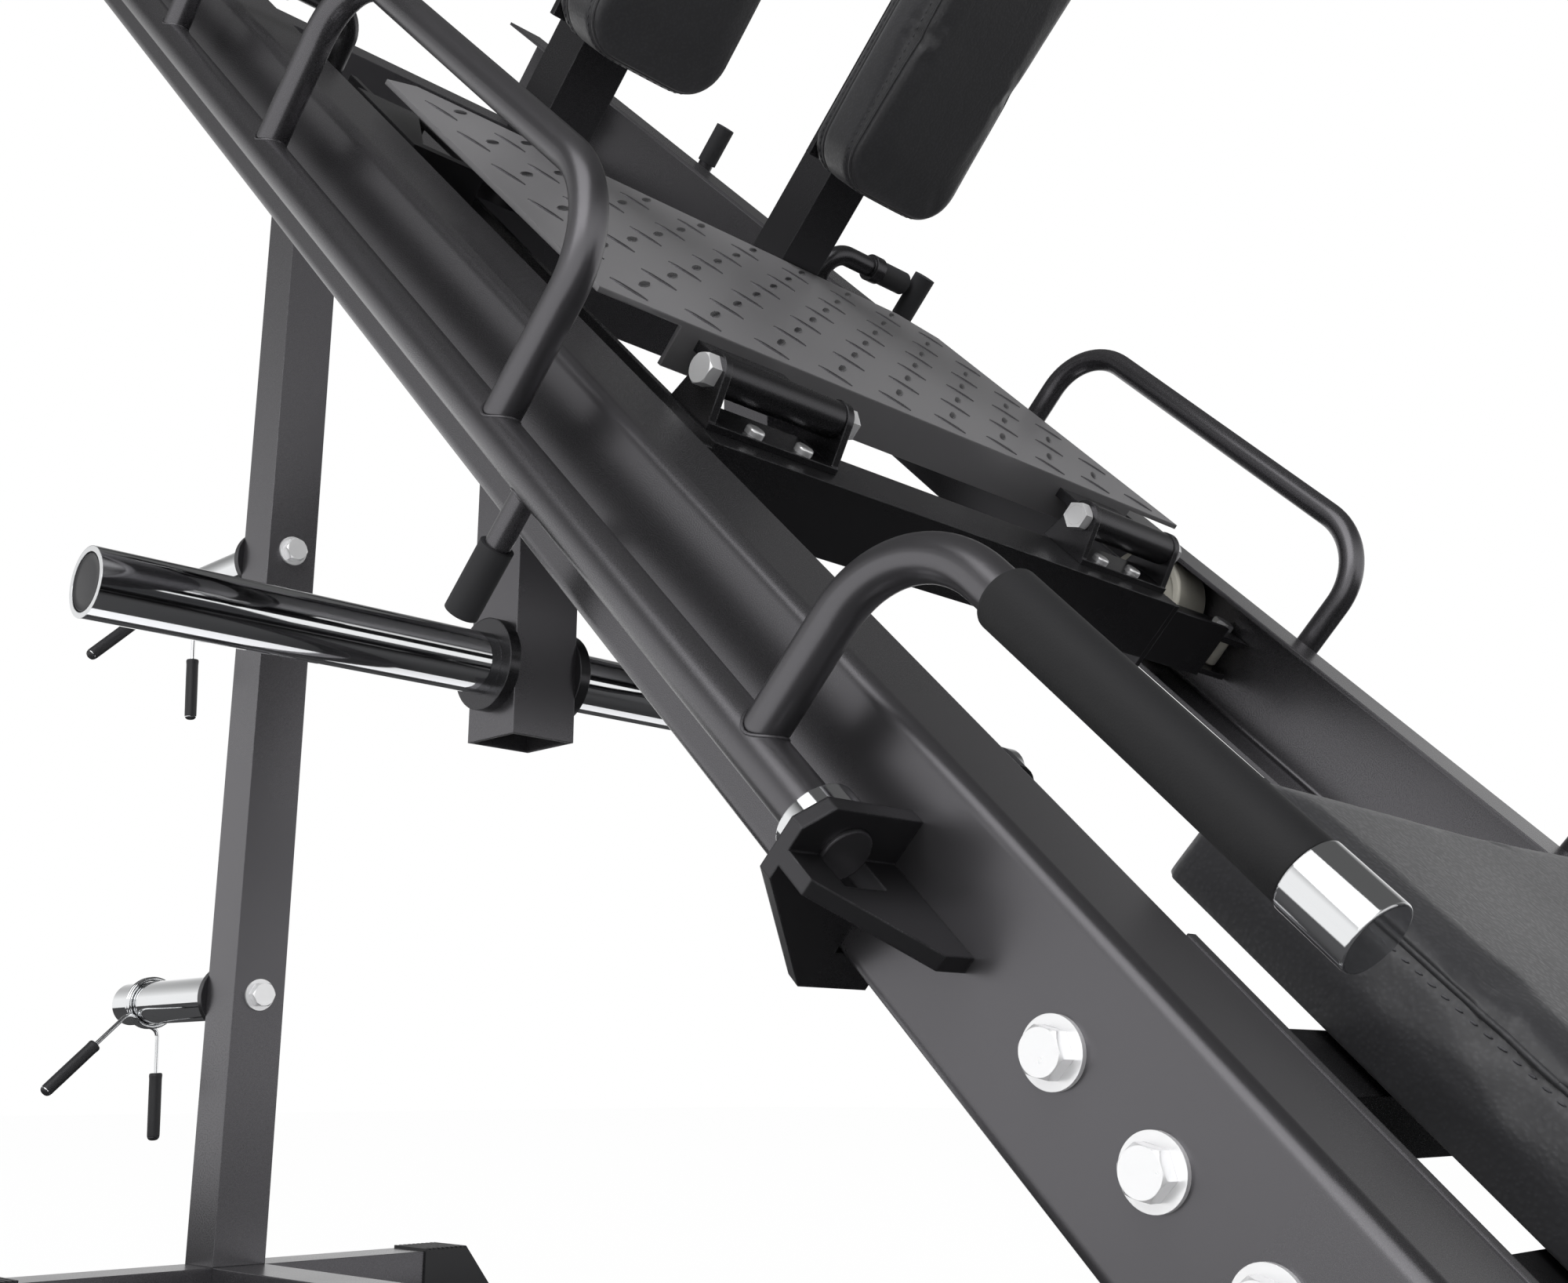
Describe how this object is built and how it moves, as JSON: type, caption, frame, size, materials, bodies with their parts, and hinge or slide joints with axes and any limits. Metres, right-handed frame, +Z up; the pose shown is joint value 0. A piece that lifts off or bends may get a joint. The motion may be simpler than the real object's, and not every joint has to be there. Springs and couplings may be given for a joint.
{
  "type": "leg press hack squat machine",
  "caption": "Gym machine: a wheeled sled with footplate, shoulder pads and loading bar slides on sloping rails above a seat.",
  "frame": {"origin": "on the floor under the middle of the machine's width and length", "axes": "+X to the user's left as seen from the seat, across the machine; +Y from the user's end to the rear upright; +Z up"},
  "size_m": [1.004, 2.382, 1.7678],
  "materials": {
    "graphite_paint": "satin powder coat",
    "black_paint": "satin powder coat",
    "zinc": "bright zinc",
    "chrome": "polished chrome",
    "black_rubber": "matt",
    "black_leather": "grained",
    "nylon": "matt",
    "black_plastic": "matt"
  },
  "bodies": {
    "frame": {"left_rail": "graphite_paint", "right_rail": "graphite_paint", "rail_end_plates": "graphite_paint", "rail_bolts": "zinc", "front_foot": "graphite_paint", "base_beam": "graphite_paint", "rear_foot": "graphite_paint", "foot_caps": "black_plastic", "rear_upright": "graphite_paint", "top_cross_beam": "graphite_paint", "storage_horns": "chrome", "horn_flanges": "black_paint", "horn_bolts": "zinc", "lockout_end_brackets": "black_paint", "lockout_top_brackets": "black_paint", "travel_bumpers": "black_rubber", "seat_frame": "black_paint", "seat_pad": "black_leather", "standing_plate": "graphite_paint"},
    "left_lockout": {"left_lockout_tube": "graphite_paint", "left_loop_handle": "graphite_paint", "left_j_handle": "graphite_paint", "left_foam_grip": "black_rubber", "left_grip_cap": "chrome", "left_peg_sleeves": "black_rubber", "left_shaft_collar": "chrome"},
    "right_lockout": {"right_lockout_tube": "graphite_paint", "right_loop_handle": "graphite_paint", "right_j_handle": "graphite_paint", "right_foam_grip": "black_rubber", "right_grip_cap": "chrome", "right_peg_sleeves": "black_rubber", "right_shaft_collar": "chrome"},
    "carriage": {"cross_channel": "black_paint", "carriage_sides": "black_paint", "upper_cross_beam": "graphite_paint", "loading_arms": "graphite_paint", "loading_bar": "chrome", "bar_flanges": "black_paint", "wheel_axles": "zinc", "roller_brackets": "black_paint", "roller_bolts": "zinc", "hinge_brackets": "black_paint", "hinge_bolts": "zinc", "shoulder_posts": "black_paint", "left_shoulder_pad": "black_leather", "right_shoulder_pad": "black_leather", "catch_arms": "black_paint", "catch_sleeves": "black_rubber"},
    "tilting_footplate": {"footplate": "graphite_paint", "hinge_barrels": "black_paint"},
    "front_wheel_pair": {"front_wheels": "nylon"},
    "rear_wheel_pair": {"rear_wheels": "nylon"},
    "left_roller": {"left_side_roller": "nylon"},
    "right_roller": {"right_side_roller": "nylon"},
    "lower_collar": {"lower_spring_collar": "chrome"},
    "upper_collar": {"upper_spring_collar": "chrome"},
    "backrest": {"backrest_frame": "black_paint", "backrest_pad": "black_leather"},
    "backrest_clamp": {"backrest_knob": "black_plastic"}
  },
  "joints": [
    {"name": "carriage_slide", "type": "slide", "parent": "frame", "child": "carriage", "axis": [0, 0.7071, 0.7071], "range_m": [-0.347, 0.8]},
    {"name": "footplate_tilt", "type": "hinge", "parent": "carriage", "child": "tilting_footplate", "pos_m": [0, -0.12066, 0.68448], "axis": [1, 0, 0], "range_deg": [0, 10]},
    {"name": "front_wheel_spin", "type": "hinge", "parent": "carriage", "child": "front_wheel_pair", "pos_m": [0, -0.04026, 0.67762], "axis": [1, 0, 0], "range_deg": [-1042.7, 452.9]},
    {"name": "rear_wheel_spin", "type": "hinge", "parent": "carriage", "child": "rear_wheel_pair", "pos_m": [0, 0.26379, 0.98168], "axis": [1, 0, 0], "range_deg": [-1042.7, 452.9]},
    {"name": "right_roller_spin", "type": "hinge", "parent": "carriage", "child": "right_roller", "pos_m": [0.3807, -0.08884, 0.62862], "axis": [0, -0.7071, 0.7071], "range_deg": [-3056.8, 1326.4]},
    {"name": "left_roller_spin", "type": "hinge", "parent": "carriage", "child": "left_roller", "pos_m": [-0.3807, -0.08884, 0.62862], "axis": [0, -0.7071, 0.7071], "range_deg": [-1326.4, 3056.8]},
    {"name": "left_lockout_turn", "type": "hinge", "parent": "frame", "child": "left_lockout", "pos_m": [-0.434, 0.16218, 0.8853], "axis": [0, 0.7071, 0.7071], "range_deg": [-20, 0]},
    {"name": "right_lockout_turn", "type": "hinge", "parent": "frame", "child": "right_lockout", "pos_m": [0.434, 0.16218, 0.8853], "axis": [0, 0.7071, 0.7071], "range_deg": [0, 20]},
    {"name": "backrest_tilt", "type": "hinge", "parent": "frame", "child": "backrest", "pos_m": [0, -0.70685, 0.08415], "axis": [1, 0, 0], "range_deg": [0, 20]},
    {"name": "backrest_knob_turn", "type": "hinge", "parent": "backrest", "child": "backrest_clamp", "pos_m": [0, -0.82353, 0.09475], "axis": [1, 0, 0], "range_deg": [0, 180]},
    {"name": "lower_collar_slide", "type": "slide", "parent": "frame", "child": "lower_collar", "axis": [0, 1, 0], "range_m": [-0.17, 0.035]},
    {"name": "upper_collar_slide", "type": "slide", "parent": "frame", "child": "upper_collar", "axis": [0, 1, 0], "range_m": [-0.17, 0.035]}
  ],
  "couplings": [
    {"joint": "front_wheel_spin", "follows": "carriage_slide", "rad_per_m": -22.727},
    {"joint": "rear_wheel_spin", "follows": "carriage_slide", "rad_per_m": -22.727},
    {"joint": "right_roller_spin", "follows": "carriage_slide", "rad_per_m": -66.667},
    {"joint": "left_roller_spin", "follows": "carriage_slide", "rad_per_m": 66.667}
  ]
}
